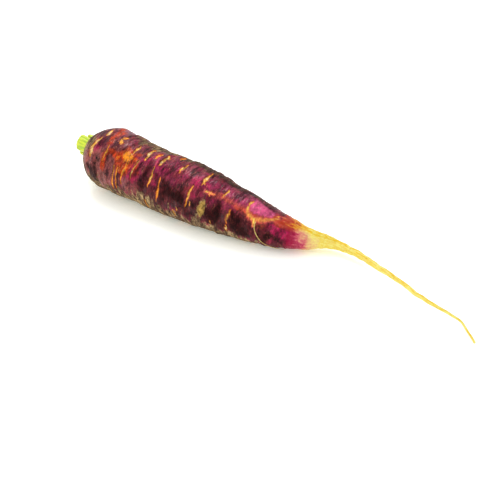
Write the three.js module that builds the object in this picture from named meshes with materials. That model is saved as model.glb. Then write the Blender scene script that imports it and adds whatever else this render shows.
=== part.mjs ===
// A long purple carrot lying on its side, pulled with its yellow tap-root tail and
// trimmed leaf stalks. Millimetres, +Z up, crown towards -X, tail towards +X.
import * as THREE from 'three';

// ---- driving dimensions, mm -------------------------------------------------------
// Stations of the root's centre line: [x, y, height of the centre, radius].
// The shoulder is the widest, the body holds its girth for 100 mm, then it
// narrows quickly to the long thin tail, whose tip bends down to the ground.
const STATIONS = [
  [12, -2.6, 17.2, 16.4],
  [22, -4.1, 16.8, 17.0],
  [34, -5.4, 16.2, 16.6],
  [52, -6.4, 15.3, 15.7],
  [72, -7.6, 14.7, 15.1],
  [90, -8.6, 14.0, 14.4],
  [106, -8.2, 12.1, 12.5],
  [120, -7.4, 10.6, 10.8],
  [131, -6.2, 9.2, 8.8],
  [139, -4.0, 7.8, 6.8],
  [146, -0.3, 6.4, 4.6],
  [153, 3.2, 5.0, 3.1],
  [161, 4.0, 4.4, 2.1],
  [171, 1.8, 4.5, 1.6],
  [182, -3.0, 5.2, 1.4],
  [195, -7.6, 5.1, 1.1],
  [209, -13.6, 4.8, 1.0],
  [220, -16.0, 4.1, 0.75],
  [227, -16.7, 3.1, 0.6],
  [232, -18.8, 2.1, 0.55],
  [239.5, -25.4, 0.5, 0.5],
];

// Crown profile: [distance back from the rim along the axis, share of the radius].
const CROWN = [
  [1.5, 0.0],
  [1.5, 0.38],
  [0.7, 0.42],
  [0.0, 0.45],
  [0.2, 0.54],
  [1.1, 0.66],
  [2.9, 0.77],
  [5.6, 0.87],
  [9.0, 0.94],
  [13.0, 0.98],
];

const BODY_RINGS = 62; // rings from the shoulder to the tip
const SEGMENTS = 32; // faces around the root
const LUMP = 0.22; // how far the gentle lumps stand from a round section
const TIP_ROUNDING = 0.25; // the rounded end past the last ring

const RECESS = 1.5; // depth of the crown's hollow, where the stalks stand
const GAP = 0.3; // clearance between neighbours

// Leaf stalks: [azimuth, inner radius, outer radius, half width, cut length], angles in
// degrees from the root's right-hand side upwards.
const OUTER_STALKS = [
  [37, 3.7, 5.8, 57, 10.9],
  [155, 3.8, 5.9, 56, 9.7],
  [275, 3.7, 5.8, 57, 10.5],
];
const INNER_STALKS = [
  [97, 1.55, 3.35, 54, 9.4],
  [217, 1.55, 3.35, 54, 10.6],
  [337, 1.55, 3.35, 54, 10.2],
];
const HEART_RADIUS = 1.2;
const HEART_LENGTH = 8.2;
const STALK_STEPS = 6; // sections along a stalk
const ARC_STEPS = 8; // points along each arc of a stalk's section

// ---- finishes ---------------------------------------------------------------------
function finish(color, roughness) {
  return new THREE.MeshStandardMaterial({ color, roughness, metalness: 0 });
}
const rootSkin = finish(0x5a2038, 0.45);
const stalkGreen = finish(0xb5cf3f, 0.5);

// ---- centre line ------------------------------------------------------------------
const centreLine = new THREE.CatmullRomCurve3(
  STATIONS.map(([x, y, z]) => new THREE.Vector3(x, y, z)), false, 'catmullrom');
const girth = new THREE.CatmullRomCurve3(
  STATIONS.map(([x, , , radius]) => new THREE.Vector3(x, radius, 0)), false, 'catmullrom');
const LINE_STEPS = 600;
const lineLengths = centreLine.getLengths(LINE_STEPS);
const rootLength = lineLengths[LINE_STEPS];

// Curve parameter at a distance along the centre line.
function parameterAt(distance) {
  let low = 0;
  while (low < LINE_STEPS - 1 && lineLengths[low + 1] < distance) low += 1;
  const part = (distance - lineLengths[low]) / (lineLengths[low + 1] - lineLengths[low]);
  return (low + part) / LINE_STEPS;
}

// Centre, tangent, sideways and upward directions of the root at a distance.
// Distances before the crown carry straight on along its axis.
function frameAt(distance) {
  const t = THREE.MathUtils.clamp(parameterAt(distance), 0, 1);
  const centre = centreLine.getPoint(t);
  const along = centreLine.getTangent(t);
  if (distance < 0) centre.addScaledVector(along, distance);
  const side = new THREE.Vector3(0, 0, 1).cross(along).normalize();
  const up = new THREE.Vector3().crossVectors(along, side);
  return { centre, along, side, up };
}

// Radius of the root at a distance, with the crown's shoulder worked in.
function radiusAt(distance) {
  const full = girth.getPoint(parameterAt(distance)).y;
  const [lastBack, lastShare] = CROWN[CROWN.length - 1];
  const rest = (1 - lastShare) * Math.exp(-(distance - lastBack) / 6);
  return distance > lastBack ? full * (1 - rest) : full;
}

// A closed lathe turned about the Y axis is laid along the centre line: its height
// becomes the distance from the crown, its radius stays across the root.
function bendAlongRoot(geometry, reshape) {
  const position = geometry.attributes.position;
  const point = new THREE.Vector3();
  for (let i = 0; i < position.count; i += 1) {
    point.fromBufferAttribute(position, i);
    const { centre, side, up } = frameAt(point.y);
    const scale = reshape(point.y, Math.atan2(point.z, point.x));
    centre.addScaledVector(side, point.x * scale).addScaledVector(up, -point.z * scale);
    position.setXYZ(i, centre.x, centre.y, Math.max(centre.z, 0));
  }
  return geometry;
}

// ---- the root ---------------------------------------------------------------------
function taproot() {
  const crownRadius = STATIONS[0][3];
  const profile = CROWN.map(([back, share]) => new THREE.Vector2(share * crownRadius, back));
  const first = CROWN[CROWN.length - 1][0];
  for (let i = 1; i <= BODY_RINGS; i += 1) {
    const distance = first + (rootLength - first) * (i / BODY_RINGS);
    profile.push(new THREE.Vector2(radiusAt(distance), distance));
  }
  const tip = radiusAt(rootLength);
  profile.push(new THREE.Vector2(tip * 0.7, rootLength + TIP_ROUNDING * 0.6));
  profile.push(new THREE.Vector2(0, rootLength + TIP_ROUNDING));
  const geometry = new THREE.LatheGeometry(profile, SEGMENTS);
  const lumps = (distance, angle) => {
    const radius = Math.max(radiusAt(Math.min(distance, rootLength)), 1);
    const fade = Math.min(radius / 12, 1) * Math.min(Math.max(distance / 20, 0), 1);
    const wave = Math.sin(2 * angle + distance / 19) + 0.7 * Math.sin(3 * angle - distance / 11);
    return 1 + (LUMP * fade * wave) / radius;
  };
  return bendAlongRoot(geometry, lumps);
}

// ---- the leaf stalks --------------------------------------------------------------
// A shape drawn in X and Y and raised along Z stands on the crown: X turns to the
// root's right-hand side, Y up, and Z away from the crown, with zero at its rim.
function standOnCrown(geometry) {
  const { centre, along, side, up } = frameAt(0);
  const foot = new THREE.Matrix4().makeBasis(side.negate(), up, along.negate());
  foot.setPosition(centre);
  return geometry.applyMatrix4(foot);
}

// Section of a stalk: an arc band with rounded ends, hollow side to the heart.
function bandShape(azimuth, inner, outer, halfWidth) {
  const middle = THREE.MathUtils.degToRad(azimuth);
  const half = THREE.MathUtils.degToRad(halfWidth);
  const shape = new THREE.Shape();
  const points = [];
  for (let i = 0; i <= ARC_STEPS; i += 1) {
    const angle = middle - half + 2 * half * (i / ARC_STEPS);
    const pinch = 0.35 * Math.pow(Math.abs((2 * i) / ARC_STEPS - 1), 4);
    const radius = outer - pinch * (outer - inner);
    points.push(new THREE.Vector2(radius * Math.cos(angle), radius * Math.sin(angle)));
  }
  for (let i = ARC_STEPS; i >= 0; i -= 1) {
    const angle = middle - half + 2 * half * (i / ARC_STEPS);
    points.push(new THREE.Vector2(inner * Math.cos(angle), inner * Math.sin(angle)));
  }
  shape.setFromPoints(points);
  return shape;
}

// A stalk stands in the hollow on its gap and runs out to its cut.
function stalk(shape, length) {
  const start = GAP - RECESS;
  const geometry = new THREE.ExtrudeGeometry(shape, {
    depth: length - start,
    steps: STALK_STEPS,
    bevelEnabled: false,
    curveSegments: ARC_STEPS * 2,
  });
  geometry.translate(0, 0, start);
  return standOnCrown(geometry);
}

function heartShape() {
  const shape = new THREE.Shape();
  shape.absarc(0, 0, HEART_RADIUS, 0, Math.PI * 2, false);
  return shape;
}

// ---- assembly ---------------------------------------------------------------------
const carrot = new THREE.Group();
function add(name, geometry, material) {
  const mesh = new THREE.Mesh(geometry, material);
  mesh.name = name;
  carrot.add(mesh);
}

add('taproot', taproot(), rootSkin);
[...OUTER_STALKS, ...INNER_STALKS].forEach(([azimuth, inner, outer, half, length], i) => {
  add(`leaf_stalk_${i + 1}`, stalk(bandShape(azimuth, inner, outer, half), length), stalkGreen);
});
add('leaf_stalk_heart', stalk(heartShape(), HEART_LENGTH), stalkGreen);

// The origin is the middle of the footprint, on the ground.
const bounds = new THREE.Box3().setFromObject(carrot);
const middle = bounds.getCenter(new THREE.Vector3());
carrot.position.set(-middle.x, -middle.y, -bounds.min.z);

export default carrot;
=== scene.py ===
"""A long purple carrot lying on a pale surface: skin, tail, rootlets and trimmed leaf stalks."""

import bmesh
import bpy
import numpy as np
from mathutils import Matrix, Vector


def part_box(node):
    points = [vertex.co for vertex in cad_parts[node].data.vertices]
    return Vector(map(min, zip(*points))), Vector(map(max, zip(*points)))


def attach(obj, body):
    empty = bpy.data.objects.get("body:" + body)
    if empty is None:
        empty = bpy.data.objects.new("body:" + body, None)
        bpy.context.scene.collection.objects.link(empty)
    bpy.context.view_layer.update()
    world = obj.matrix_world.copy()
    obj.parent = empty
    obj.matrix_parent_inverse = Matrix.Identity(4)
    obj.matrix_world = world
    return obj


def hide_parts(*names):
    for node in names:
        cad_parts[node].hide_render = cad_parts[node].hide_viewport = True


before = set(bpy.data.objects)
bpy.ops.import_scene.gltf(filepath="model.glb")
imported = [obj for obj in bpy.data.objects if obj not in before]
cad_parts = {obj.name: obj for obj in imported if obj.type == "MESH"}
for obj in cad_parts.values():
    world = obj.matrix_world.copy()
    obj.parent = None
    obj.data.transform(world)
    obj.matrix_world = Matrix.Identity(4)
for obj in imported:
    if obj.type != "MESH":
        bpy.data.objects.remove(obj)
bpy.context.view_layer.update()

MM = 0.001
TURN = 2 * np.pi

# ---- the root's form, in mm ---------------------------------------------------------
# Stations of the centre line: x, y, height of the centre, radius.
STATIONS = np.array([
    (12, -2.6, 17.2, 16.4),
    (22, -4.1, 16.8, 17.0),
    (34, -5.4, 16.2, 16.6),
    (52, -6.4, 15.3, 15.7),
    (72, -7.6, 14.7, 15.1),
    (90, -8.6, 14.0, 14.4),
    (106, -8.2, 12.1, 12.5),
    (120, -7.4, 10.6, 10.8),
    (131, -6.2, 9.2, 8.8),
    (139, -4.0, 7.8, 6.8),
    (146, -0.3, 6.4, 4.6),
    (153, 3.2, 5.0, 3.1),
    (161, 4.0, 4.4, 2.1),
    (171, 1.8, 4.5, 1.6),
    (182, -3.0, 5.2, 1.4),
    (195, -7.6, 5.1, 1.1),
    (209, -13.6, 4.8, 1.0),
    (220, -16.0, 4.1, 0.75),
    (227, -16.7, 3.1, 0.6),
    (232, -18.8, 2.1, 0.55),
    (239.5, -25.4, 0.5, 0.5),
])
# Crown profile: distance back from the rim along the axis, share of the radius.
CROWN = np.array([
    (1.5, 0.0),
    (1.5, 0.2),
    (1.5, 0.38),
    (0.7, 0.42),
    (0.0, 0.45),
    (0.2, 0.54),
    (1.1, 0.66),
    (2.9, 0.77),
    (5.6, 0.87),
    (9.0, 0.94),
    (13.0, 0.98),
])
SHOULDER = CROWN[-1, 0]  # where the crown profile hands over to the stations
BODY_END = 140.0  # past it the root is tail
CROWN_ROWS, BODY_ROWS, TAIL_ROWS, TIP_ROWS = 50, 500, 110, 5
AROUND = 148  # points round each row
LUMP = 0.22  # how far the low waves stand from a round section
TIP_ROUNDING = 0.25  # the rounded end past the last station
THINNEST = 0.05  # least radius that the relief may leave

# Relief of the skin, mm.
RIDGES, FINE_RIDGES, SWELLS, GRAIN = 0.17, 0.07, 0.28, 0.03
SCAR_LIP, SCAR_DEPTH, PIT_DEPTH = 0.12, 0.24, 0.45
TAIL_KNOTS = 0.4
TAIL_CROOK = 0.22

# Marks of the skin are placed by distance from the crown in mm and degrees around:
# 0 is the left side, 90 the top, 180 the right side and 270 underneath.
# Scars: distance, from, to, lean over its length, half width, paleness.
SCARS = [
    (11.1, 112, 157, -1.4, 1.25, 0.95),
    (13.6, 82, 106, 2.2, 0.8, 0.9),
    (20.4, 120, 153, 0.8, 0.55, 0.3),
    (23.6, 89, 109, 0.4, 1.15, 0.5),
    (28.6, 150, 199, 0.3, 0.5, 0.35),
    (30.9, 150, 193, 0.6, 0.5, 0.3),
    (34.4, 136, 181, -1.1, 0.45, 0.3),
    (34.5, 93, 116, 0.2, 0.7, 0.6),
    (40.2, 124, 163, -0.9, 0.5, 0.7),
    (43.1, 86, 120, 0.4, 1.0, 0.7),
    (48.3, 90, 108, -0.8, 0.95, 0.25),
    (53.8, 90, 118, -0.6, 0.95, 0.85),
    (51.8, 124, 166, 0.2, 0.6, 0.6),
    (57.9, 138, 188, 0.6, 0.6, 0.25),
    (59.2, 68, 84, 0.0, 0.9, 0.1),
    (65.6, 90, 115, -0.6, 0.8, 0.6),
    (75.9, 127, 174, -0.9, 0.6, 0.6),
    (79.4, 82, 122, 0.0, 0.55, 0.7),
    (79.8, 104, 116, 0.4, 0.6, 0.3),
    (84.6, 124, 132, 0.0, 0.45, 0.8),
    (91.5, 101, 126, -0.9, 0.55, 0.7),
    (97.1, 142, 176, -0.6, 0.8, 0.35),
    (104.8, 97, 121, -0.4, 0.7, 0.55),
    (110.9, 138, 158, 0.2, 0.9, 0.25),
    (118.9, 103, 122, -1.0, 0.6, 0.5),
    (124.3, 104, 117, -0.6, 0.8, 0.3),
    (127.6, 90, 103, 0.0, 0.7, 0.3),
    (68.5, 192, 206, 0.4, 0.5, 0.7),
    (50.0, 196, 216, 0.4, 0.5, 0.6),
    (97.0, 182, 199, 0.4, 0.8, 0.9),
    (77.6, 161, 166, 0.1, 0.35, 0.8),
    (70.6, 183, 189, 0.2, 0.3, 0.7),
    (88.4, 186, 192, 0.2, 0.3, 0.8),
]
# Patches of the skin: distance, degrees around, half length in mm, half width in degrees,
# and the strength, or for the bulges and hollows the height in mm.
BULGES = [
    (12.5, 64, 7, 30, 0.9), (68.5, 62, 5, 26, 0.8), (37, 222, 9, 24, -0.5),
    (73, 222, 8, 24, -0.5), (136.5, 225, 3.5, 45, 1.1),
]
# Rubbed tan places, the largest past the middle of the body.
RUBS = [(83.6, 165, 2.3, 18, 1.8), (63.5, 150, 1.4, 6, 0.5), (20.5, 178, 2.2, 12, 0.45)]
# Near-black blotches.
DARK = [
    (12, 178, 3, 9, 1.1), (16.5, 172, 2.4, 15, 1.5), (15.5, 195, 2.4, 12, 1.2),
    (27.5, 157, 1.8, 7, 0.7), (10.5, 98, 2.5, 7, 0.6), (38, 103, 2.4, 8, 0.5),
    (47.5, 138, 3.2, 15, 1.0), (46, 162, 3.6, 12, 0.9), (55, 138, 2, 8, 0.7),
    (56, 195, 3, 12, 0.8), (61, 200, 3, 10, 0.6), (62, 165, 3.5, 15, 0.8),
    (67, 160, 5, 16, 0.95), (71.8, 158, 3, 18, 1.0), (78, 195, 3, 14, 0.8),
    (78.8, 165, 2, 13, 0.9), (87, 165, 4, 17, 0.9), (90, 190, 4, 18, 0.85),
    (92, 160, 3, 15, 0.9), (102, 172, 4, 26, 0.95), (106, 194, 4, 18, 0.9),
    (100, 150, 3, 10, 0.7), (117, 177, 3.5, 11, 1.0), (119, 188, 4, 12, 0.7),
    (85, 76, 8, 11, 0.7), (95, 78, 8, 11, 0.75), (104, 76, 6, 10, 0.7),
    (110.5, 92, 2.4, 12, 0.8), (124, 80, 3, 8, 0.7), (34, 200, 3, 8, 0.5),
]
# Bright magenta patches.
MAGENTA = [
    (13.5, 134, 2.6, 12, 0.8), (17, 127, 2.6, 10, 0.5), (23.5, 135, 3, 10, 0.7),
    (32.5, 145, 2, 10, 0.8), (38, 152, 3, 15, 0.9), (42.5, 158, 2, 10, 0.6),
    (45, 118, 5, 8, 0.6), (50, 116, 4, 10, 0.6), (53.8, 149, 2.6, 12, 1.1),
    (51, 168, 3, 12, 0.6), (56, 162, 2, 12, 0.8), (58, 120, 5, 14, 0.6),
    (62, 100, 4, 10, 0.8), (66, 97, 3, 8, 0.7), (71, 118, 6, 16, 0.6),
    (77.6, 150, 1.8, 12, 0.8), (78, 112, 3, 18, 0.9), (82, 125, 3, 8, 0.7),
    (88, 110, 6, 15, 0.6), (95.2, 152, 2.2, 12, 1.0), (99, 112, 6, 18, 0.7),
    (113, 158, 4.5, 13, 1.3), (121, 160, 5, 18, 1.1), (127.5, 165, 3.2, 27, 1.3),
    (110, 182, 2.5, 10, 0.7), (121.5, 143, 3, 9, 1.0), (124, 152, 3, 12, 0.8),
    (18, 150, 3, 8, 0.4),
]
# Pale pink patches, the largest before the tail, on the crest, where it is pink skin with a
# painted highlight in it.
PINK = [
    (107.5, 118, 4.6, 14, 0.9), (112.5, 119, 5.8, 14, 1.05), (116.5, 112, 5.0, 13, 0.85),
    (109, 101, 8, 13, 0.6), (97, 110, 6, 10, 0.3), (32, 106, 1.5, 6, 0.6),
    (131.6, 192, 2, 24, 0.8), (85, 117, 3, 8, 0.4), (17.5, 92, 1.5, 6, 0.5),
    (37, 114, 2, 6, 0.4), (113, 131, 6, 6, 0.6), (93, 116, 3, 8, 0.4),
    (20.3, 116, 2.6, 8, 0.5),
]
# Orange blush, at the shoulder and before the tail.
BLUSH = [
    (26, 129, 2.6, 13, 0.8), (23.6, 141, 1.8, 9, 0.7), (34.5, 130, 2.2, 9, 0.8),
    (27.5, 146, 1.2, 14, 0.5), (19.5, 112, 1.6, 10, 0.7), (38.5, 112, 1.6, 8, 0.6),
    (21.3, 147, 1.9, 9, 1.1), (22, 132, 1.8, 8, 0.6), (29.8, 137, 3.2, 13, 0.9),
    (32, 152, 2.4, 7, 1.1), (34, 122, 2.8, 13, 1.5), (35.5, 148, 2.2, 12, 1.1),
    (37, 133, 3.4, 7, 1.1), (30, 120, 3.5, 12, 0.7), (19, 90, 1.6, 13, 1.1),
    (16.5, 78, 1.9, 10, 0.9), (17, 100, 2, 4, 0.7), (47.3, 98, 1.8, 7, 0.9),
    (40, 142, 2, 10, 0.5), (42, 148, 1.8, 8, 0.6), (106, 134, 3.6, 7, 1.0),
    (112, 135, 6, 7, 0.8), (101, 128, 4, 6, 0.7), (92, 130, 4, 5, 0.7),
    (113, 149, 3, 5, 0.6), (122, 118, 3.6, 14, 1.1), (126.5, 114, 3, 15, 1.0),
    (124, 98, 4, 10, 1.0), (128.5, 90, 3, 13, 1.2), (110.5, 150, 2, 8, 0.5),
]
# Streaks of orange and yellow along the root: half width, strength, and the places that
# the line joins.
ARC = 0.2  # mm of arc to a degree where they run
STREAKS = [
    (0.6, 1.2, [(82.6, 131), (83.6, 129.5)]),
    (0.7, 0.95, [(83.6, 129.5), (87, 127.5)]),
    (2.1, 0.5, [(87, 127.5), (92.5, 126), (98, 127), (103.5, 128)]),
    (1.0, 1.2, [(104.6, 120), (104.9, 126)]),
    (1.8, 0.95, [(104.9, 126), (106, 134), (108.5, 140), (110.4, 144)]),
    (1.1, 1.3, [(110.2, 142), (110.7, 150)]),
    (0.7, 1.0, [(110.7, 150), (110.9, 160)]),
    (1.7, 0.9, [(110.6, 142), (113.5, 135), (116.4, 129)]),
    (1.3, 1.05, [(116.4, 129), (118.4, 122), (119.3, 110)]),
    (1.3, 0.55, [(119, 126), (123, 128), (127, 130), (131, 134)]),
    (1.0, 0.9, [(122, 112), (125, 110), (129, 112), (132, 116)]),
    (0.8, 0.8, [(123.5, 121), (127, 121), (131, 125)]),
    (0.9, 0.8, [(120.5, 98), (124, 100), (128, 96), (132, 98)]),
    (0.8, 0.7, [(126, 84), (129, 86), (133, 84)]),
]
# Pits: distance, degrees around, half size in mm.
PITS = [(13.1, 161, 0.8), (16.5, 152.5, 0.75), (46.4, 159, 0.7), (72.5, 178, 0.7)]
PIT_TURN = 3.2  # degrees around to a mm of pit

HIDDEN_FROM, HIDDEN_TO = 236, 420  # the side that lies away, marked by a seeded draw
HIDDEN_SEED = 7
FADE_OUT = 3  # degrees a scar runs past its ends while it fades


def catmull_rom(points, t):
    """Spline through points at parameters t counted in points. The ends are mirrored,
    and each span is the cubic of its four neighbours with half their chord as slope."""
    padded = np.vstack([2 * points[0] - points[1], points, 2 * points[-1] - points[-2]])
    span = np.clip(np.floor(t).astype(int), 0, len(points) - 2)
    w = (t - span)[:, None]
    before, here, there, after = (padded[span + i] for i in range(4))
    slope_in = (there - before) / 2
    slope_out = (after - here) / 2
    return (
        (2 * w**3 - 3 * w**2 + 1) * here
        + (w**3 - 2 * w**2 + w) * slope_in
        + (3 * w**2 - 2 * w**3) * there
        + (w**3 - w**2) * slope_out
    )


LINE_T = np.linspace(0, len(STATIONS) - 1, 4000)
LINE = catmull_rom(STATIONS, LINE_T)
LINE_STEP = np.linalg.norm(np.diff(LINE[:, :3], axis=0), axis=1)
LINE_AT = np.concatenate([[0], np.cumsum(LINE_STEP)])
ROOT_LENGTH = LINE_AT[-1]


def unit(vectors):
    """Each vector divided by its length."""
    return vectors / np.linalg.norm(vectors, axis=-1, keepdims=True)


def centre_line(distance):
    """Centre, direction, sideways and upward unit vectors of the root at distances
    from the crown's rim: side is level and across, up is square to both."""
    t = np.interp(distance, LINE_AT, LINE_T)
    centre = catmull_rom(STATIONS, t)[:, :3]
    ahead = catmull_rom(STATIONS, np.minimum(t + 0.02, LINE_T[-1]))[:, :3]
    behind = catmull_rom(STATIONS, np.maximum(t - 0.02, 0))[:, :3]
    along = unit(ahead - behind)
    side = unit(np.cross([0.0, 0.0, 1.0], along))
    up = np.cross(along, side)
    return centre, along, side, up


def radius_at(distance):
    """Radius of the root past the shoulder: the stations' radius, with the last of the
    crown's rounding dying away over a few millimetres."""
    t = np.interp(distance, LINE_AT, LINE_T)
    rest = (1 - CROWN[-1, 1]) * np.exp(-(distance - SHOULDER) / 6)
    return catmull_rom(STATIONS, t)[:, 3] * (1 - np.where(distance > SHOULDER, rest, 0))


def waves(points, shortest, longest, count, seed):
    """A smooth random field of about -1 to 1: the scaled sum of plane waves with drawn
    directions, phases and wavelengths."""
    draw = np.random.default_rng(seed)
    direction = unit(draw.normal(size=(count, 3)))
    length = shortest * (longest / shortest) ** draw.random(count)
    phase = draw.random(count) * TURN
    turns = points @ (direction * (TURN / length)[:, None]).T
    return np.sin(turns + phase).sum(axis=-1) * np.sqrt(1 / count)


def smooth_step(low, high, value):
    """0 below low, 1 above high, and the cubic ease between them."""
    t = np.clip((value - low) / (high - low), 0, 1)
    return t * t * (3 - 2 * t)


def turn_between(degrees, middle):
    """Signed angle in degrees from middle, the short way round."""
    return (degrees - middle + 180) % 360 - 180


def stripe(degrees, middle, half_width, power=2):
    """A soft stripe along the root: 1 at its middle angle and a bell to both sides, with
    a flatter top at a higher power."""
    return np.exp(-((turn_between(degrees, middle) / half_width) ** power))


def spots(distance, degrees, places):
    """Sum of soft round patches: each is strength times a bell over its half sizes."""
    total = np.zeros_like(distance)
    for at, middle, long, wide, strength in places:
        across = turn_between(degrees, middle) / wide
        total += strength * np.exp(-(((distance - at) / long) ** 2) - across**2)
    return total


def scar_field(distance, degrees, scars):
    """Cover, lip and paleness of the scars. Each runs round the root, leaning, bowed and
    waving a little, and tapers to both ends: cover is a bell across its width, the lip a
    bell just past its edge, and paleness belongs to the scar that covers most."""
    cover = np.zeros_like(distance)
    lip = np.zeros_like(distance)
    pale = np.zeros_like(distance)
    for at, low, high, lean, half_width, paleness in scars:
        middle = (low + high) / 2
        run = turn_between(degrees, middle) / ((high - low) / 2 + FADE_OUT)
        taper = np.clip(1 - np.abs(run) ** 1.8, 0, 1)
        bow = 0.5 * np.sin(3 * at) * run**2
        wobble = 0.35 * np.sin(run * 4.1 + at) + 0.2 * np.sin(run * 11 + 2 * at)
        off = np.abs(distance - at - lean * run / 2 - bow - half_width * wobble)
        swell = 0.75 + 0.35 * np.sin(run * 5.3 + 5 * at)
        width = half_width * (0.45 + 0.8 * taper * swell)
        here = smooth_step(0, 0.35, taper) * np.exp(-((off / width) ** 2))
        pale = np.where(here > cover, paleness * (0.3 + 0.7 * taper * swell), pale)
        cover = np.maximum(cover, here)
        lip += taper * np.exp(-(((off - 1.8 * width) / 0.5) ** 2))
    return cover, lip, pale


def streak_field(distance, degrees, streaks):
    """Strongest of the streaks: each is a bell across the distance to a broken line, with
    degrees counted as mm of arc, times its strength."""
    total = np.zeros_like(distance)
    for half_width, strength, places in streaks:
        nearest = np.full_like(distance, 1e9)
        for (from_mm, from_turn), (to_mm, to_turn) in zip(places[:-1], places[1:]):
            run = np.array([to_mm - from_mm, (to_turn - from_turn) * ARC])
            off = np.stack([distance - from_mm, (degrees - from_turn) * ARC], axis=-1)
            share = np.clip(off @ run / (run @ run), 0, 1)
            gap = np.linalg.norm(off - share[:, None] * run, axis=-1)
            nearest = np.minimum(nearest, gap)
        total = np.maximum(total, strength * np.exp(-((nearest / half_width) ** 2)))
    return total


# ---- building the root --------------------------------------------------------------
def hidden_marks():
    """Scars and patches of the side that lies away, drawn like those in sight."""
    draw = np.random.default_rng(HIDDEN_SEED)
    scars = []
    for at in np.arange(9, 126, 3.1):
        middle = draw.uniform(HIDDEN_FROM + 10, HIDDEN_TO - 10)
        half = draw.uniform(7, 24)
        width = draw.uniform(0.45, 0.95)
        scars.append((at + draw.uniform(-1.5, 1.5), middle - half, middle + half,
                      draw.uniform(-0.9, 0.9), width, draw.uniform(0.1, 0.8)))
    patches = {}
    for name, count, strength in (("dark", 46, 0.9), ("magenta", 38, 0.8),
                                  ("pink", 8, 0.5), ("blush", 14, 0.9)):
        patches[name] = [
            (draw.uniform(8, 128), draw.uniform(HIDDEN_FROM, HIDDEN_TO),
             draw.uniform(2, 5), draw.uniform(8, 20), strength * draw.uniform(0.6, 1.1))
            for _ in range(count)
        ]
    return scars, patches


def root_rows():
    """Distance from the rim and plain radius of each row of the root's grid: the crown
    profile from its hollow outwards, the body, the tail, and the rounded tip."""
    crown_t = np.linspace(0, len(CROWN) - 1, CROWN_ROWS)
    crown = catmull_rom(CROWN, crown_t)
    crown_radius = np.maximum(crown[:, 1], 0) * STATIONS[0, 3]
    crown_radius[0] = 0
    body = np.linspace(SHOULDER, BODY_END, BODY_ROWS + 1)[1:]
    tail = np.linspace(BODY_END, ROOT_LENGTH, TAIL_ROWS + 1)[1:]
    bend = np.linspace(0, np.pi / 2, TIP_ROWS + 1)[1:]
    tip_radius = radius_at(np.array([ROOT_LENGTH]))[0]
    tip = ROOT_LENGTH + TIP_ROUNDING * np.sin(bend)
    distance = np.concatenate([crown[:, 0], body, tail, tip])
    radius = np.concatenate([crown_radius, radius_at(body), radius_at(tail),
                             tip_radius * np.cos(bend)])
    radius[-1] = 0
    return distance, radius


def lumpiness(distance, angle, radius):
    """The plain form's low waves: two and three to the turn, slowly winding along."""
    fade = np.minimum(radius / 12, 1) * np.clip(distance / 20, 0, 1)
    wave = np.sin(2 * angle - distance / 19) + 0.7 * np.sin(3 * angle + distance / 11)
    return -LUMP * fade * wave


def root_point(distance, angle, radius):
    """Points at a radius and an angle about the centre line, none below the ground."""
    centre, _, side, up = centre_line(distance)
    out = np.cos(angle)[:, None] * side + np.sin(angle)[:, None] * up
    point = centre + radius[:, None] * out
    point[:, 2] = np.maximum(point[:, 2], 0)
    return point


def crust_field(distance, at, around, ringed, swing):
    """Tan crust: along the belly past its ragged edge, where it is partly soil-stained bark and
    partly painted bounce light from the pale floor, weaker near the tail, along the back behind
    the shoulder, and round the shoulder itself."""
    low_edge = 198 + 6 * smooth_step(60, 120, distance) - 12 * np.exp(-(((at - 42) / 9) ** 2))
    tongue = 8 * waves(ringed, 2.5, 8, 16, 13)
    # the belly band: soil-stained bark and painted bounce light from the pale floor
    belly_crust_and_bounce = smooth_step(-18, 14, around + tongue - low_edge)
    belly_crust_and_bounce = belly_crust_and_bounce * (1 - smooth_step(275, 330, around + tongue))
    belly_crust_and_bounce = belly_crust_and_bounce * (1 - 0.6 * smooth_step(106, 118, distance))
    back = stripe(around + 0.6 * tongue, 66, 21)
    back = back * (smooth_step(20, 32, distance) - 0.25 * smooth_step(58, 84, distance))
    back = back * (1 - smooth_step(108, 122, distance))
    shoulder = 1 - smooth_step(1, 13, at + 0.35 * swing)
    return 0.88 * belly_crust_and_bounce + 1.05 * back + 1.15 * shoulder


def ground_zones(at, around, degrees):
    """Soft zones of the ground colour: painted sheen, a smoother and bluer plum standing in for
    the soft highlight, along the upper side and behind the crown;
    mauve round the crown's right side; and maroon along the right side past it, partly painted
    shade where that side turns down from the light."""
    # painted sheen: the upper side's soft highlight, laid in as colour
    painted_sheen = stripe(around, 108, 24) * smooth_step(62, 80, at)
    painted_crown_sheen = 0.8 * stripe(around, 122, 16)
    painted_sheen += painted_crown_sheen * smooth_step(10, 14, at) * (1 - smooth_step(18, 26, at))
    mauve = (1 - smooth_step(24, 36, at)) * (0.5 + 0.5 * np.cos(np.radians(degrees - 175)))
    mauve += 0.8 * stripe(around, 178, 22) * (1 - smooth_step(42, 52, at))
    # maroon band where the right side turns down from the light: maroon skin and painted shade
    # together
    maroon = stripe(around, 172, 30, 4) * smooth_step(38, 50, at)
    maroon = maroon * (1 - smooth_step(114, 124, at))
    return np.clip(painted_sheen, 0, 1), mauve, maroon


def tail_zones(distance, degrees, around, wander):
    """How far the skin has turned to the tail's yellow, sooner along the crest and on the
    left side, and how far a place lies on the upper side, where it turns through orange."""
    crest = stripe(degrees, 118, 15)
    turn_edge = 130.0 + 3.2 * np.cos(np.radians(degrees - 205)) - 2.0 * crest
    tail = np.clip((distance + 1.3 * wander - turn_edge + 11) / 18, 0, 1)
    upper = smooth_step(-14, 14, 128 - around) + smooth_step(20, 60, around - 215)
    return tail, np.clip(upper, 0, 1)


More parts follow.
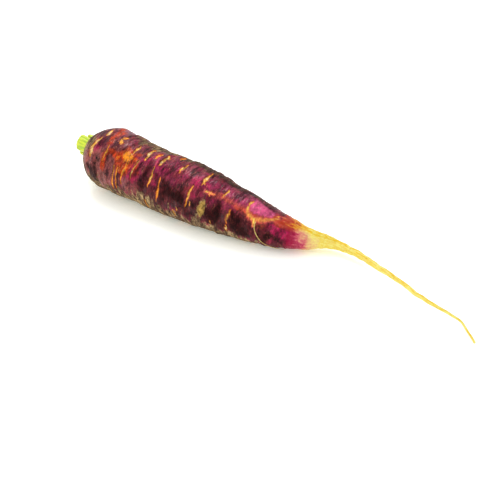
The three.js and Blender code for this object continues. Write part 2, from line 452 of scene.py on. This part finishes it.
def skin_relief(distance, degrees, radius, straight, ringed, on_body, marks):
    """Relief in mm: ridges round the root, swells and grain in step with its girth, scars
    sunk between raised lips, low bulges and hollows, pits, and knots along the tail."""
    cover, lip, pale, pits = marks
    size = np.minimum(radius / 13, 1)
    ridges = RIDGES * waves(ringed, 2.2, 6.5, 30, 21)
    ridges = ridges + FINE_RIDGES * waves(ringed, 0.9, 2.2, 30, 22)
    swells = SWELLS * waves(straight * [1.0, 0.6, 0.6], 9, 24, 20, 23)
    grain = GRAIN * waves(straight, 0.8, 1.8, 30, 24)
    relief = size * (ridges * (0.35 + 0.65 * on_body) + swells + grain)
    relief += size * on_body * (SCAR_LIP * lip - SCAR_DEPTH * cover * (1 - 0.4 * pale))
    relief += spots(distance, degrees, BULGES) - PIT_DEPTH * pits
    knots = np.clip(waves(straight * [1.0, 0.3, 0.3], 2.5, 9, 20, 25), -0.5, 2)
    return relief + TAIL_KNOTS * np.minimum(radius / 1.5, 1) * (1 - on_body) * knots


def skin_fields(distance, angle, radius):
    """Relief in mm and the colour fields of the skin, as whole arrays. The fields read a
    distance and an angle that wander a little, so that no patch has a drawn edge."""
    straight = np.stack([distance, radius * np.cos(angle), radius * np.sin(angle)], 1)
    ringed = straight * [1.0, 0.22, 0.22]
    degrees = np.degrees(angle)
    on_body = 1 - smooth_step(126, 142, distance)
    wander = 1.1 * waves(ringed, 4, 12, 16, 11)
    swing = 7 * waves(straight, 6, 16, 16, 12)
    at = distance + wander
    around = degrees + swing

    scars, patches = hidden_marks()
    cover, lip, pale = scar_field(distance + 0.12 * wander, degrees, SCARS + scars)
    pits = spots(distance, degrees, [(s, a, w, PIT_TURN * w, 1.0) for s, a, w in PITS])
    pits = np.clip(pits, 0, 1)
    rub = spots(at, around, RUBS)
    dark = spots(at, around, DARK + patches["dark"])
    magenta = spots(at, around, MAGENTA + patches["magenta"])
    pink = spots(at, around, PINK + patches["pink"])
    blush = spots(at, around, BLUSH + patches["blush"])
    streak = streak_field(distance + 0.3 * wander, degrees + 0.3 * swing, STREAKS)

    # crust, with painted bounce light from the floor along the belly
    crust = crust_field(distance, at, around, ringed, swing) + rub
    crust = np.clip(crust, 0, 1.3) * on_body
    painted_sheen, mauve, maroon = ground_zones(at, around, degrees)
    tail, upper = tail_zones(distance, degrees, around, wander)
    marks = cover, lip, pale, pits
    relief = skin_relief(distance, degrees, radius, straight, ringed, on_body, marks)
    fields = {
        "straight": straight,
        "marks": np.stack([cover, pale, pits], 1),
        "tints": np.stack([dark, magenta, blush], 1),
        "covers": np.stack([crust, tail, pink], 1),
        "grounds": np.stack([mauve, maroon, streak], 1),
        "upper": upper,
        "painted_sheen": painted_sheen,
        "rubbed": rub,
    }
    return relief, fields


def grid_faces(rows, columns):
    """Quads of a grid that closes on itself sideways, each row's corners in turn."""
    row, column = np.meshgrid(np.arange(rows - 1), np.arange(columns), indexing="ij")
    here = row * columns + column
    beside = row * columns + (column + 1) % columns
    quads = np.stack([here, beside, beside + columns, here + columns], axis=-1)
    return quads.reshape(-1, 4)


def mesh_piece(name, points, faces, fields=None):
    """A smooth-shaded piece in metres, with coincident points merged, degenerate faces
    gone and faces turned outwards. Fields become point attributes."""
    mesh = bpy.data.meshes.new(name)
    mesh.from_pydata((points * MM).tolist(), [], faces.tolist())
    for key, values in (fields or {}).items():
        kind = "FLOAT_VECTOR" if values.ndim == 2 else "FLOAT"
        attribute = mesh.attributes.new(key, kind, "POINT")
        target = "vector" if values.ndim == 2 else "value"
        attribute.data.foreach_set(target, values.astype(np.float32).ravel())
    work = bmesh.new()
    work.from_mesh(mesh)
    bmesh.ops.remove_doubles(work, verts=work.verts, dist=1e-7)
    bmesh.ops.recalc_face_normals(work, faces=work.faces)
    work.to_mesh(mesh)
    work.free()
    mesh.shade_smooth()
    piece = bpy.data.objects.new(name, mesh)
    bpy.context.scene.collection.objects.link(piece)
    return piece


def plain_root():
    """Points of the root's grid before its relief, with their parameters."""
    row_distance, row_radius = root_rows()
    rows = len(row_distance)
    turn = np.arange(AROUND) * TURN / AROUND
    distance = np.repeat(row_distance, AROUND)
    radius = np.repeat(row_radius, AROUND)
    angle = np.tile(turn, rows)
    return rows, distance, angle, radius


def build_root(offset, skin):
    """The whole root: plain form, low waves and skin relief, small crooks to the sides
    along the tail, and the underside pressed flat on the ground."""
    rows, distance, angle, radius = plain_root()
    within = np.clip(distance, 0, ROOT_LENGTH)
    relief, fields = skin_fields(within, angle, radius)
    inner = np.clip(radius / 6, 0, 1)
    full = radius + (lumpiness(within, angle, radius) + relief) * inner
    full = np.where(radius > 0, np.maximum(full, THINNEST), 0)
    points = root_point(within, angle, full)
    _, along, _, _ = centre_line(within)
    points += (distance - within)[:, None] * along
    crook = waves(within[:, None] * [1.0, 0.0, 0.0], 4, 14, 16, 26)
    points[:, 1] += TAIL_CROOK * smooth_step(144, 156, within) * crook
    points[:, 2] = np.maximum(points[:, 2], 0)
    piece = mesh_piece("taproot_skin", points + offset, grid_faces(rows, AROUND), fields)
    piece.data.materials.append(skin)
    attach(piece, "root")
    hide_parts("taproot")
    return piece


def frame_offset():
    """How far the stations' own axes stand from the frame's: the difference between the
    middles of the CAD root and of the plain form, seen from above."""
    _, distance, angle, radius = plain_root()
    within = np.clip(distance, 0, ROOT_LENGTH)
    points = root_point(within, angle, radius + lumpiness(within, angle, radius))
    low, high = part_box("taproot")
    middle = (np.array(low) + np.array(high)) / 2 / MM
    own = (points.min(axis=0) + points.max(axis=0)) / 2
    return np.array([middle[0] - own[0], middle[1] - own[1], 0.0])


# ---- rootlets -----------------------------------------------------------------------
# Each is thickness at its start and a path of distance, degrees around, lift off the skin.
ROOTLETS = {
    "side_rootlet": (0.27, [(110.8, 146, -0.4), (110.8, 152, 0.25), (111.1, 164, 0.25),
                            (112, 176, 0.3), (113.4, 189, 0.4), (115, 202, 0.5),
                            (117.5, 214, 0.6), (121, 224, 0.6), (125, 231, 0.5)]),
    "back_rootlet": (0.3, [(97, 18, -0.4), (97.4, 14, 0.4), (98.6, 6, 1.4),
                           (100.8, -2, 2.2), (104, -8, 2.2), (107.5, -12, 1.4)]),
    "shoulder_rootlet": (0.26, [(41, 352, -0.4), (41.3, 348, 0.6), (42.2, 342, 1.6),
                                (44, 337, 2.2), (46.5, 333, 1.9)]),
    "tail_rootlet": (0.2, [(158, 330, -0.3), (158.6, 328, 0.5), (160, 322, 1.2),
                           (162.5, 316, 1.8), (165, 312, 2.0)]),
}
ROOTLET_SIDES = 10
ROOTLET_STEPS = 70


def rootlet_path(places, offset):
    """A smooth line over the skin through the places, at their lifts."""
    t = np.linspace(0, len(places) - 1, ROOTLET_STEPS)
    distance, degrees, lift = catmull_rom(np.array(places, float), t).T
    angle = np.radians(degrees)
    radius = radius_at(distance)
    radius = radius + lumpiness(distance, angle, radius) + lift
    return root_point(distance, angle, radius) + offset


def build_rootlet(name, thickness, places, offset, skin):
    """A round tube along its path, thinning to nothing with the square root of what is
    left, its section square to the path and its ends drawn to a point."""
    path = rootlet_path(places, offset)
    along = unit(np.gradient(path, axis=0))
    side = unit(np.cross(along, [0.3, 0.2, 1.0]))
    up = np.cross(along, side)
    left = 1 - np.arange(ROOTLET_STEPS) / (ROOTLET_STEPS - 1)
    radius = thickness * (0.25 + 0.75 * np.sqrt(left))
    radius[0] = 0
    radius[-1] = 0
    turn = np.arange(ROOTLET_SIDES) * TURN / ROOTLET_SIDES
    turn = turn[None, :, None]
    ring = np.cos(turn) * side[:, None] + np.sin(turn) * up[:, None]
    points = path[:, None] + radius[:, None, None] * ring
    points[..., 2] = np.maximum(points[..., 2], 0)
    faces = grid_faces(ROOTLET_STEPS, ROOTLET_SIDES)
    piece = mesh_piece(name, points.reshape(-1, 3), faces)
    piece.data.materials.append(skin)
    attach(piece, "root")
    return piece


# ---- leaf stalks --------------------------------------------------------------------
# Azimuth, inner radius, outer radius, half width in degrees, cut length, flare, ribs.
STALKS = {
    "leaf_stalk_1": (37, 3.7, 5.8, 57, 10.9, 0.2, 9),
    "leaf_stalk_2": (155, 3.8, 5.9, 56, 9.7, 0.3, 9),
    "leaf_stalk_3": (275, 3.7, 5.8, 57, 10.5, 0.2, 9),
    "leaf_stalk_4": (97, 1.55, 3.35, 54, 9.4, 0.1, 5),
    "leaf_stalk_5": (217, 1.55, 3.35, 54, 10.6, 0.1, 5),
    "leaf_stalk_6": (337, 1.55, 3.35, 54, 10.2, 0.1, 5),
    "leaf_stalk_heart": (0, 0.0, 1.2, 180, 8.2, 0.0, 7),
}
STALK_FOOT = -1.2  # where a stalk starts, below the crown's rim
STALK_AROUND = 96
STALK_ROWS = 44
STALK_CAP_ROWS = 9
RIB_HEIGHT = 0.13
CHANNEL_DEPTH = 0.25  # the hollow along the inside of a band
CUT_DISH = 0.28  # how far the middle of the cut sinks
CUT_ROUGHNESS = 0.08
CUT_SLOPE = 0.12  # steepest tilt of a cut


def band_form(azimuth, inner, outer, half_width, flare, ribs, keep, rise):
    """Radius and angle of a leaf base: a squared-off oval bent into an arc, ribbed on the
    outside and channelled inside, wider at the foot, flaring and narrowing to the cut."""
    turn = np.arange(STALK_AROUND) * TURN / STALK_AROUND
    across = np.sign(np.cos(turn)) * np.abs(np.cos(turn)) ** 0.5
    through = np.sign(np.sin(turn)) * np.abs(np.sin(turn)) ** 0.45
    from_middle = (np.radians(half_width) * across)[None, :]
    through = through[None, :]
    middle, half_thick = (inner + outer) / 2, (outer - inner) / 2
    rib = RIB_HEIGHT * np.clip(through, 0, 1) * np.cos(ribs * from_middle * 2)
    channel = -CHANNEL_DEPTH * np.clip(-through, 0, 1)
    radius = middle + keep * (half_thick * through + rib + channel)
    radius = radius * (1 + 0.05 * np.exp(-rise * 6)) + flare * rise**3
    phi = np.radians(azimuth) + from_middle * (1 - 0.06 * rise) * (0.9 + 0.1 * keep)
    return radius, phi


def rod_form(outer, ribs, keep):
    """Radius and angle of the heart stalk: a circle with low ribs."""
    turn = np.arange(STALK_AROUND)[None, :] * TURN / STALK_AROUND
    radius = outer * keep * (1 + 0.05 * np.cos(ribs * turn))
    return radius, np.broadcast_to(turn, radius.shape)


def build_stalk(name, shape, offset, skin, seed):
    """A leaf stalk's base: its section runs from the crown's hollow to the cut. Foot and
    cut close by drawing the section in to its middle line, and the cut is tilted a little
    as drawn from the seed, roughened and dished."""
    azimuth, inner, outer, half_width, length, flare, ribs = shape
    draw_in = np.sin(np.linspace(0, np.pi / 2, STALK_CAP_ROWS))
    keep = np.concatenate([draw_in, np.ones(STALK_ROWS), draw_in[::-1]])[:, None]
    rise = np.concatenate([np.zeros(STALK_CAP_ROWS), np.linspace(0, 1, STALK_ROWS),
                           np.ones(STALK_CAP_ROWS)])[:, None]
    if name == "leaf_stalk_heart":
        radius, phi = rod_form(outer, ribs, keep)
    else:
        radius, phi = band_form(azimuth, inner, outer, half_width, flare, ribs, keep, rise)
    x, y = radius * np.cos(phi), radius * np.sin(phi)
    slope = np.random.default_rng(seed).uniform(-CUT_SLOPE, CUT_SLOPE, 2)
    cut = length + slope[0] * x + slope[1] * y
    cut_face = (rise >= 1) * (1 - keep)
    z = STALK_FOOT + (cut - STALK_FOOT) * rise - CUT_DISH * cut_face
    smooth = np.stack([x, y, z], axis=-1).reshape(-1, 3)
    rough = waves(smooth, 0.7, 2.0, 14, seed + 50).reshape(x.shape)
    z = z + CUT_ROUGHNESS * (rise > 0.5) * rough

    centre, along, side, up = (v[0] for v in centre_line(np.zeros(1)))
    points = centre + offset - x[..., None] * side + y[..., None] * up - z[..., None] * along
    bundle = np.cos(4.2 * (phi - np.radians(azimuth)) * (inner + outer) / 2)
    fields = {
        "stalk": np.stack([
            np.broadcast_to(cut_face, x.shape).ravel(),
            np.broadcast_to(rise, x.shape).ravel(),
            bundle.ravel(),
        ], 1),
        "grown": np.stack([x.ravel(), y.ravel(), z.ravel()], 1),
    }
    faces = grid_faces(len(keep), STALK_AROUND)
    piece = mesh_piece(name + "_skin", points.reshape(-1, 3), faces, fields)
    piece.data.materials.append(skin)
    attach(piece, "root")
    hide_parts(name)
    return piece


# ---- finishes -----------------------------------------------------------------------
SET_LIGHT = 1.56  # brightness of a white surface in the set's light


def colour(code):
    """Linear base colour that looks like the six-digit sRGB code in the set's light."""
    value = np.array([int(code[i:i + 2], 16) for i in (0, 2, 4)]) / 255
    linear = np.where(value < 0.04045, value / 12.92, ((value + 0.055) / 1.055) ** 2.4)
    return (*(linear / SET_LIGHT).tolist(), 1.0)


class Wire:
    """A node's output; + - * and their reflected forms add Math nodes after it."""

    def __init__(self, finish, socket):
        self.finish = finish
        self.socket = socket

    def _maths(self, operation, first, second):
        return self.finish.node("ShaderNodeMath", {"operation": operation},
                                {0: first, 1: second})

    def __add__(self, other):
        return self._maths("ADD", self, other)

    def __sub__(self, other):
        return self._maths("SUBTRACT", self, other)

    def __rsub__(self, other):
        return self._maths("SUBTRACT", other, self)

    def __mul__(self, other):
        return self._maths("MULTIPLY", self, other)

    __radd__ = __add__
    __rmul__ = __mul__


class Finish:
    """A procedural material under construction round its Principled shader."""

    def __init__(self, name):
        self.material = bpy.data.materials.new(name)
        self.material.use_nodes = True
        self.nodes = self.material.node_tree.nodes
        self.links = self.material.node_tree.links
        self.shader = self.nodes["Principled BSDF"]

    def feed(self, socket, value):
        """Links a wire to the socket, or sets the socket to a value."""
        if isinstance(value, Wire):
            self.links.new(value.socket, socket)
        else:
            socket.default_value = value

    def node(self, kind, settings=None, inputs=None, output=0):
        """Adds a node: its settings, then the value or wire of each input socket."""
        node = self.nodes.new(kind)
        for key, value in (settings or {}).items():
            setattr(node, key, value)
        for key, value in (inputs or {}).items():
            self.feed(node.inputs[key], value)
        return Wire(self, node.outputs[output])

    def set(self, **inputs):
        """Feeds sockets of the shader, named with underscores for spaces."""
        for key, value in inputs.items():
            self.feed(self.shader.inputs[key.replace("_", " ")], value)

    def attribute(self, name, output="Vector"):
        """The named attribute of the mesh, as a vector, or as a number from output Fac."""
        return self.node("ShaderNodeAttribute", {"attribute_name": name}, output=output)

    def parts(self, vector):
        """The three components of a vector."""
        split = self.node("ShaderNodeSeparateXYZ", None, {0: vector})
        return [Wire(self, split.socket.node.outputs[i]) for i in range(3)]

    def stretch(self, vector, scale):
        """The vector with each component scaled."""
        return self.node("ShaderNodeVectorMath", {"operation": "MULTIPLY"},
                         {0: vector, 1: scale})

    def noise(self, vector, scale, detail=4.0, roughness=0.55, distortion=0.0):
        """Fractal noise of about 0 to 1 at a scale in turns per unit."""
        return self.node("ShaderNodeTexNoise", None, {
            "Vector": vector, "Scale": scale, "Detail": detail,
            "Roughness": roughness, "Distortion": distortion})

    def step(self, value, low, high):
        """0 below low and 1 above high, eased between them."""
        return self.node("ShaderNodeMapRange", {"interpolation_type": "SMOOTHSTEP"},
                         {0: value, 1: low, 2: high})

    def mix(self, factor, first, second):
        """Second colour over the first by a factor."""
        return self.node("ShaderNodeMix", {"data_type": "RGBA"},
                         {0: factor, 6: first, 7: second}, output=2)

    def lay(self, ground, code, value, low, high, most=None):
        """The colour of a code laid over the ground: not at all where the value is below
        low, and fully, or as far as most says, above high."""
        share = self.step(value, low, high)
        return self.mix(share if most is None else share * most, ground, colour(code))

    def lay_below(self, ground, code, value, low, high, most):
        """The colour of a code laid over the ground where the value is low."""
        return self.mix((1 - self.step(value, low, high)) * most, ground, colour(code))

    def scale(self, first, factor):
        """A colour or vector times a number."""
        return self.node("ShaderNodeVectorMath", {"operation": "SCALE"},
                         {0: first, "Scale": factor})

    def bump(self, height, distance, strength=1.0):
        """A normal bent by a height, whose unit is worth distance in metres."""
        return self.node("ShaderNodeBump", None, {
            "Height": height, "Distance": distance, "Strength": strength})


class RootSkin(Finish):
    """The root's skin under construction: the mesh's fields, and the noises in turns to
    the mm that its colours and its bump share."""

    def __init__(self):
        super().__init__("root_skin")
        straight = self.attribute("straight")
        self.distance = self.parts(straight)[0]
        self.cover, self.pale, self.pits = self.parts(self.attribute("marks"))
        self.dark, self.magenta, self.blush = self.parts(self.attribute("tints"))
        self.crust, self.tail, self.pink = self.parts(self.attribute("covers"))
        self.mauve, self.maroon, self.streak = self.parts(self.attribute("grounds"))
        self.upper = self.attribute("upper", "Fac")
        self.painted_sheen = self.attribute("painted_sheen", "Fac")
        self.rubbed = self.attribute("rubbed", "Fac")

        ringed = self.stretch(straight, (1.0, 0.35, 0.35))
        self.blots = self.noise(straight, 0.13, 5.0, 0.6)
        self.clouds = self.noise(ringed, 0.24, 6.0, 0.62)
        self.bands = self.noise(ringed, 0.42, 5.0, 0.65)
        self.threads = self.noise(ringed, 1.1, 5.0, 0.65)
        self.mottling = self.noise(self.stretch(straight, (1.0, 0.6, 0.6)), 0.5, 6.0, 0.8, 0.3)
        self.specks = self.noise(straight, 0.95, 4.0, 0.65)
        self.fine = self.noise(straight, 3.5, 3.0, 0.5)
        self.rings = self.noise(self.stretch(straight, (1.0, 0.07, 0.07)), 0.9, 3.0, 0.6)
        self.strands = self.noise(self.stretch(straight, (0.22, 1.0, 1.0)), 1.1, 5.0, 0.6)
        self.ragged = (self.threads - 0.5) * 1.1 + (self.specks - 0.5) * 0.8

        self.deep = self.step(self.dark + self.ragged * 1.2, 0.2, 1.05)
        self.opened = self.step(self.cover + self.ragged * 0.45, 0.34, 0.95)
        # calm smooths the mottling and the bump under the pink patches and the painted sheen, so
        # that they read as a soft highlight
        self.calm = self.step(self.pink + self.painted_sheen * 0.6, 0.2, 1.0) * 0.5


def plum_ground(skin):
    """Plum, with mauve, rosy bands and painted sheen, magenta and pink patches (the largest pink
    one also a painted highlight), orange blush, dark clouds, maroon with painted shade along the
    right side, near-black blotches, and fine pale threads round the root."""
    ragged = skin.ragged
    ground = skin.mix(skin.step(skin.blots, 0.38, 0.62), colour("861a42"), colour("7a202a"))
    ground = skin.lay(ground, "8e5048", skin.mauve + ragged * 0.8, 0.2, 1.0, 0.8)
    ground = skin.lay(ground, "984048", skin.bands, 0.48, 0.7, 0.6)
    # painted sheen over the upper side and behind the crown
    ground = skin.lay(ground, "86204a", skin.painted_sheen + ragged * 0.8, 0.2, 1.1, 0.55)
    ground = skin.lay(ground, "b0164e", skin.magenta + ragged * 0.7, 0.25, 0.95)
    # pink patches; the largest, on the crest before the tail, is also a painted highlight
    ground = skin.lay(ground, "e4588a", skin.pink + ragged * 0.9, 0.1, 1.35)
    ground = skin.lay(ground, "942e1c", skin.blush + ragged * 0.9, 0.12, 0.5, 0.7)
    ground = skin.lay(ground, "b8360c", skin.blush + ragged * 0.9, 0.4, 0.8)
    ground = skin.lay(ground, "e88a14", skin.blush + ragged * 1.8, 1.05, 1.65)
    clouded = 0.85 - 0.5 * skin.step(skin.pink + skin.blush, 0.3, 1.0)
    ground = skin.lay_below(ground, "40101c", skin.clouds, 0.38, 0.52, clouded)
    # maroon with painted shade along the right side
    ground = skin.lay(ground, "4c1418", skin.maroon + ragged * 0.9, 0.15, 1.0, 0.9)
    ground = skin.mix(skin.deep * 0.92, ground, colour("2a0406"))
    thready = 0.7 - 0.35 * skin.maroon - 0.25 * skin.deep
    return skin.lay(ground, "c06e5c", skin.threads, 0.55, 0.7, thready)


def crust_colour(skin):
    """Tan to brown bark, speckled and ringed with dark, darker on the blotches and along
    the far part of the back, and plain tan where it was rubbed. Along the belly this tan is also
    painted bounce light from the pale floor."""
    bark = skin.mix(skin.step(skin.bands, 0.35, 0.6), colour("62463a"), colour("bc9e70"))
    bark = skin.lay(bark, "8e6a5c", skin.threads, 0.5, 0.66, 0.6)
    bark = skin.lay_below(bark, "3a221c", skin.specks, 0.34, 0.48, 0.85)
    bark = skin.lay(bark, "301814", skin.dark, 0.3, 0.9, 0.6)
    bark = skin.mix(skin.upper * 0.45, bark, colour("6c5034"))
    back = skin.upper * skin.step(skin.distance, 54.0, 70.0)
    bark = skin.mix(back * 0.75, bark, colour("381c1a"))
    bark = skin.lay_below(bark, "3c161c", skin.rings, 0.4, 0.5, 0.75)
    return skin.lay(bark, "b8924c", skin.rubbed + skin.ragged * 0.5, 0.5, 0.9)


def with_marks(skin, ground):
    """The ground with its scars, which are orange to cream inside a rusty fringe, the
    glowing streaks and the dark pits."""
    ragged = skin.ragged
    ground = skin.lay(ground, "b64a22", skin.cover + ragged * 0.5, 0.05, 0.55, 0.8)
    pale = skin.pale + (skin.specks - 0.5) * 1.2
    flesh = skin.mix(skin.step(pale, 0.05, 0.6), colour("ec8622"), colour("f4b848"))
    flesh = skin.lay(flesh, "fbdca4", pale, 0.5, 1.05)
    ground = skin.mix(skin.opened, ground, flesh)
    glow = skin.streak + ragged * 0.6 * skin.step(skin.streak, 0.02, 0.2)
    ground = skin.lay(ground, "d2544e", glow, 0.1, 0.7, 0.8)
    ground = skin.lay(ground, "ee9a48", glow, 0.45, 1.1)
    ground = skin.lay(ground, "f8d860", glow, 0.9, 1.35)
    return skin.lay(ground, "160708", skin.pits, 0.3, 0.7)


def with_tail(skin, ground):
    """The ground turning to the tail's stranded yellow: through crimson, pink and peach
    on the right side, and through ember and orange on the upper side. Peach and yellow are
    painted lighter on the lower side, against the shade that falls there."""
    yellow = skin.mix(skin.step(skin.strands, 0.4, 0.6), colour("f6d01c"), colour("fff282"))
    yellow = skin.lay(yellow, "ecb428", skin.specks, 0.58, 0.72, 0.4)
    yellow = skin.lay(yellow, "e4ae30", skin.rings, 0.5, 0.72, 0.35)
    yellow = skin.lay(yellow, "c0802c", skin.specks + skin.threads, 1.14, 1.34, 0.7)
    ragged = (skin.strands - 0.5) * 0.7 + skin.ragged * 0.25
    turning = skin.tail + ragged * skin.step(skin.tail, 0.0, 0.2)
    crimson = skin.lay(ground, "a6043c", turning, 0.0, 0.35)
    crimson = skin.lay(crimson, "e65476", turning, 0.3, 0.62)
    ember = skin.lay(ground, "bc3418", turning, 0.0, 0.3, 0.9)
    ember = skin.lay(ember, "ec8c28", turning + 0.8 * (skin.strands - 0.5), 0.35, 0.7)
    ground = skin.mix(skin.upper, crimson, ember)
    peach = skin.mix(skin.upper, colour("fce88e"), colour("f8c42e"))
    # painted light: peach and yellow lifted on the lower side against its shade
    painted_lower_side_light = 1.12 - 0.1 * skin.upper
    ground = skin.mix(skin.step(turning, 0.44, 0.94), ground, skin.scale(peach, painted_lower_side_light))
    return skin.mix(skin.step(turning, 0.74, 1.08), ground, skin.scale(yellow, painted_lower_side_light))


def root_finish():
    """Skin of the root: plum ground under rubbed tan crust, which along the belly is also
    painted bounce light from the floor, scars, streaks and pits, all mottled, and the yellow of
    the tail. It is glossier where it is smooth and bare."""
    skin = RootSkin()
    # crust cover, including the painted floor bounce along the belly
    crusted = skin.step(skin.crust + skin.ragged * 1.1, 0.35, 0.8)
    ground = skin.mix(crusted, plum_ground(skin), crust_colour(skin))
    ground = with_marks(skin, ground)
    shade = 0.25 + 1.55 * skin.step(skin.mottling, 0.33, 0.67)
    ground = skin.scale(ground, shade * (1 - skin.calm) + skin.calm)
    ground = with_tail(skin, ground)

    height = skin.threads * 0.35 + skin.mottling * 0.6 + skin.bands + skin.fine * 0.2
    height = (height - skin.opened * 0.35) * (1 - 0.65 * skin.calm)
    rough = skin.crust + skin.ragged * 0.5
    bare = (1 - skin.step(rough, 0.1, 0.7)) * (1 - skin.deep)
    moist = skin.clouds + 0.4 * (skin.specks - 0.5) + 0.12 * skin.painted_sheen
    gloss = 0.05 + 0.35 * skin.step(moist, 0.44, 0.66) * (1 - 0.5 * skin.painted_sheen)
    skin.set(Base_Color=ground,
             Roughness=0.4 + 0.25 * skin.step(rough, 0.3, 0.9) + 0.2 * (skin.threads - 0.5),
             Normal=skin.bump(height, 0.0004, 0.9),
             Specular_IOR_Level=0.05,
             Coat_Weight=bare * gloss,
             Coat_Roughness=0.18)
    return skin.material


def rootlet_finish():
    """Thin pale yellow root hair, browner in places."""
    skin = Finish("rootlet_skin")
    place = skin.node("ShaderNodeTexCoord", output="Object")
    tone = skin.noise(place, 900.0, 3.0)
    skin.set(Base_Color=skin.lay(colour("ecd27a"), "c79a4c", tone, 0.35, 0.7),
             Roughness=0.55)
    return skin.material


def stalk_finish(name, fresh, deep, cut_colour):
    """Leaf-stalk skin: lime ground with fine lengthwise ribs, deeper green at the foot,
    and a pale moist cut with darker vein ends."""
    skin = Finish(name)
    grown = skin.attribute("grown")
    cut, rise, bundle = skin.parts(skin.attribute("stalk"))
    lines = skin.noise(skin.stretch(grown, (1.0, 1.0, 0.1)), 1.1, 4.0, 0.6)
    mottle = skin.noise(grown, 0.9, 4.0)
    ground = skin.mix(skin.step(lines, 0.42, 0.6), fresh, deep)
    ground = skin.lay_below(ground, "b4c832", rise, 0.05, 0.5, 0.5)
    ground = skin.lay(ground, "dfe88a", mottle, 0.55, 0.75, 0.35)
    face = skin.lay(cut_colour, "a2b44c", bundle + (mottle - 0.5) * 0.4, 0.7, 0.97)
    ground = skin.mix(skin.step(cut, 0.02, 0.2), ground, face)
    skin.set(Base_Color=ground, Roughness=0.42 + 0.15 * lines,
             Normal=skin.bump(lines + mottle * 0.3, 0.00025, 0.6),
             Subsurface_Weight=0.15, Subsurface_Scale=0.003)
    return skin.material


def floor_finish():
    """Plain pale matt table, lit a little from below so that shadows on it stay light."""
    paint = Finish("pale_floor")
    paint.set(Base_Color=(0.93, 0.93, 0.92, 1.0), Roughness=0.9, Specular_IOR_Level=0.1,
              Emission_Color=(0.92, 0.97, 0.78, 1.0), Emission_Strength=0.25)
    return paint.material


# ---- setting ------------------------------------------------------------------------
VIEW_AZIMUTH, VIEW_ELEVATION = 34.3, 32.0  # degrees, towards the tail and the right side
VIEW_DISTANCE = 0.45  # metres
VIEW_ANGLE = 30.0
SENSOR_WIDTH = 36
AIM = (121.1, -17.1, 0.0)  # mm, in the stations' axes
FLOOR_REACH = 3000.0  # mm from the middle to each side
SURROUND_STRENGTH = 1.25


def direction(azimuth, elevation):
    """Unit vector towards a place seen at that azimuth and elevation."""
    a, e = np.radians([azimuth, elevation])
    return Vector((np.sin(a) * np.cos(e), -np.cos(a) * np.cos(e), np.sin(e)))


def build_camera(offset):
    """Camera at the viewing distance from the aimed point, level with the horizon."""
    lens = bpy.data.cameras.new("camera")
    lens.sensor_width = SENSOR_WIDTH
    lens.lens = SENSOR_WIDTH / 2 / np.tan(np.radians(VIEW_ANGLE / 2))
    camera = bpy.data.objects.new("camera", lens)
    aim = Vector((np.array(AIM) + offset) * MM)
    back = direction(VIEW_AZIMUTH, VIEW_ELEVATION)
    camera.location = aim + back * VIEW_DISTANCE
    camera.rotation_euler = back.to_track_quat("Z", "Y").to_euler()
    bpy.context.scene.collection.objects.link(camera)
    bpy.context.scene.camera = camera


def build_light(name, azimuth, elevation, distance, size, power):
    """A square soft light at that bearing, turned to the object."""
    lamp = bpy.data.lights.new(name, "AREA")
    lamp.size = size
    lamp.energy = power
    light = bpy.data.objects.new(name, lamp)
    towards = direction(azimuth, elevation)
    light.location = towards * distance
    light.rotation_euler = towards.to_track_quat("Z", "Y").to_euler()
    bpy.context.scene.collection.objects.link(light)


def build_setting():
    """Floor, softbox and an even white surround."""
    points = np.array([(-1, -1, 0), (1, -1, 0), (1, 1, 0), (-1, 1, 0)]) * FLOOR_REACH
    floor = mesh_piece("floor", points, np.array([[0, 1, 2, 3]]))
    floor.data.materials.append(floor_finish())
    world = bpy.data.worlds.new("surround")
    world.use_nodes = True
    sky = world.node_tree.nodes["Background"].inputs
    sky["Color"].default_value = (1, 1, 1, 1)
    sky["Strength"].default_value = SURROUND_STRENGTH
    bpy.context.scene.world = world
    build_light("overhead_softbox", azimuth=240, elevation=60, distance=0.9, size=0.35,
                power=3.0)
    bpy.context.scene.view_settings.view_transform = "Standard"


# ---- assembly -----------------------------------------------------------------------
offset = frame_offset()
build_camera(offset)
build_setting()
build_root(offset, root_finish())
hair = rootlet_finish()
for name, (thickness, places) in ROOTLETS.items():
    build_rootlet(name, thickness, places, offset, hair)
green = stalk_finish("stalk_green", colour("ecfc30"), colour("badc1e"), colour("dce4a4"))
young = stalk_finish("stalk_heart", colour("d8e070"), colour("c2d24c"), colour("eeeebe"))
for seed, (name, shape) in enumerate(STALKS.items(), start=1):
    build_stalk(name, shape, offset, young if name.endswith("heart") else green, seed)
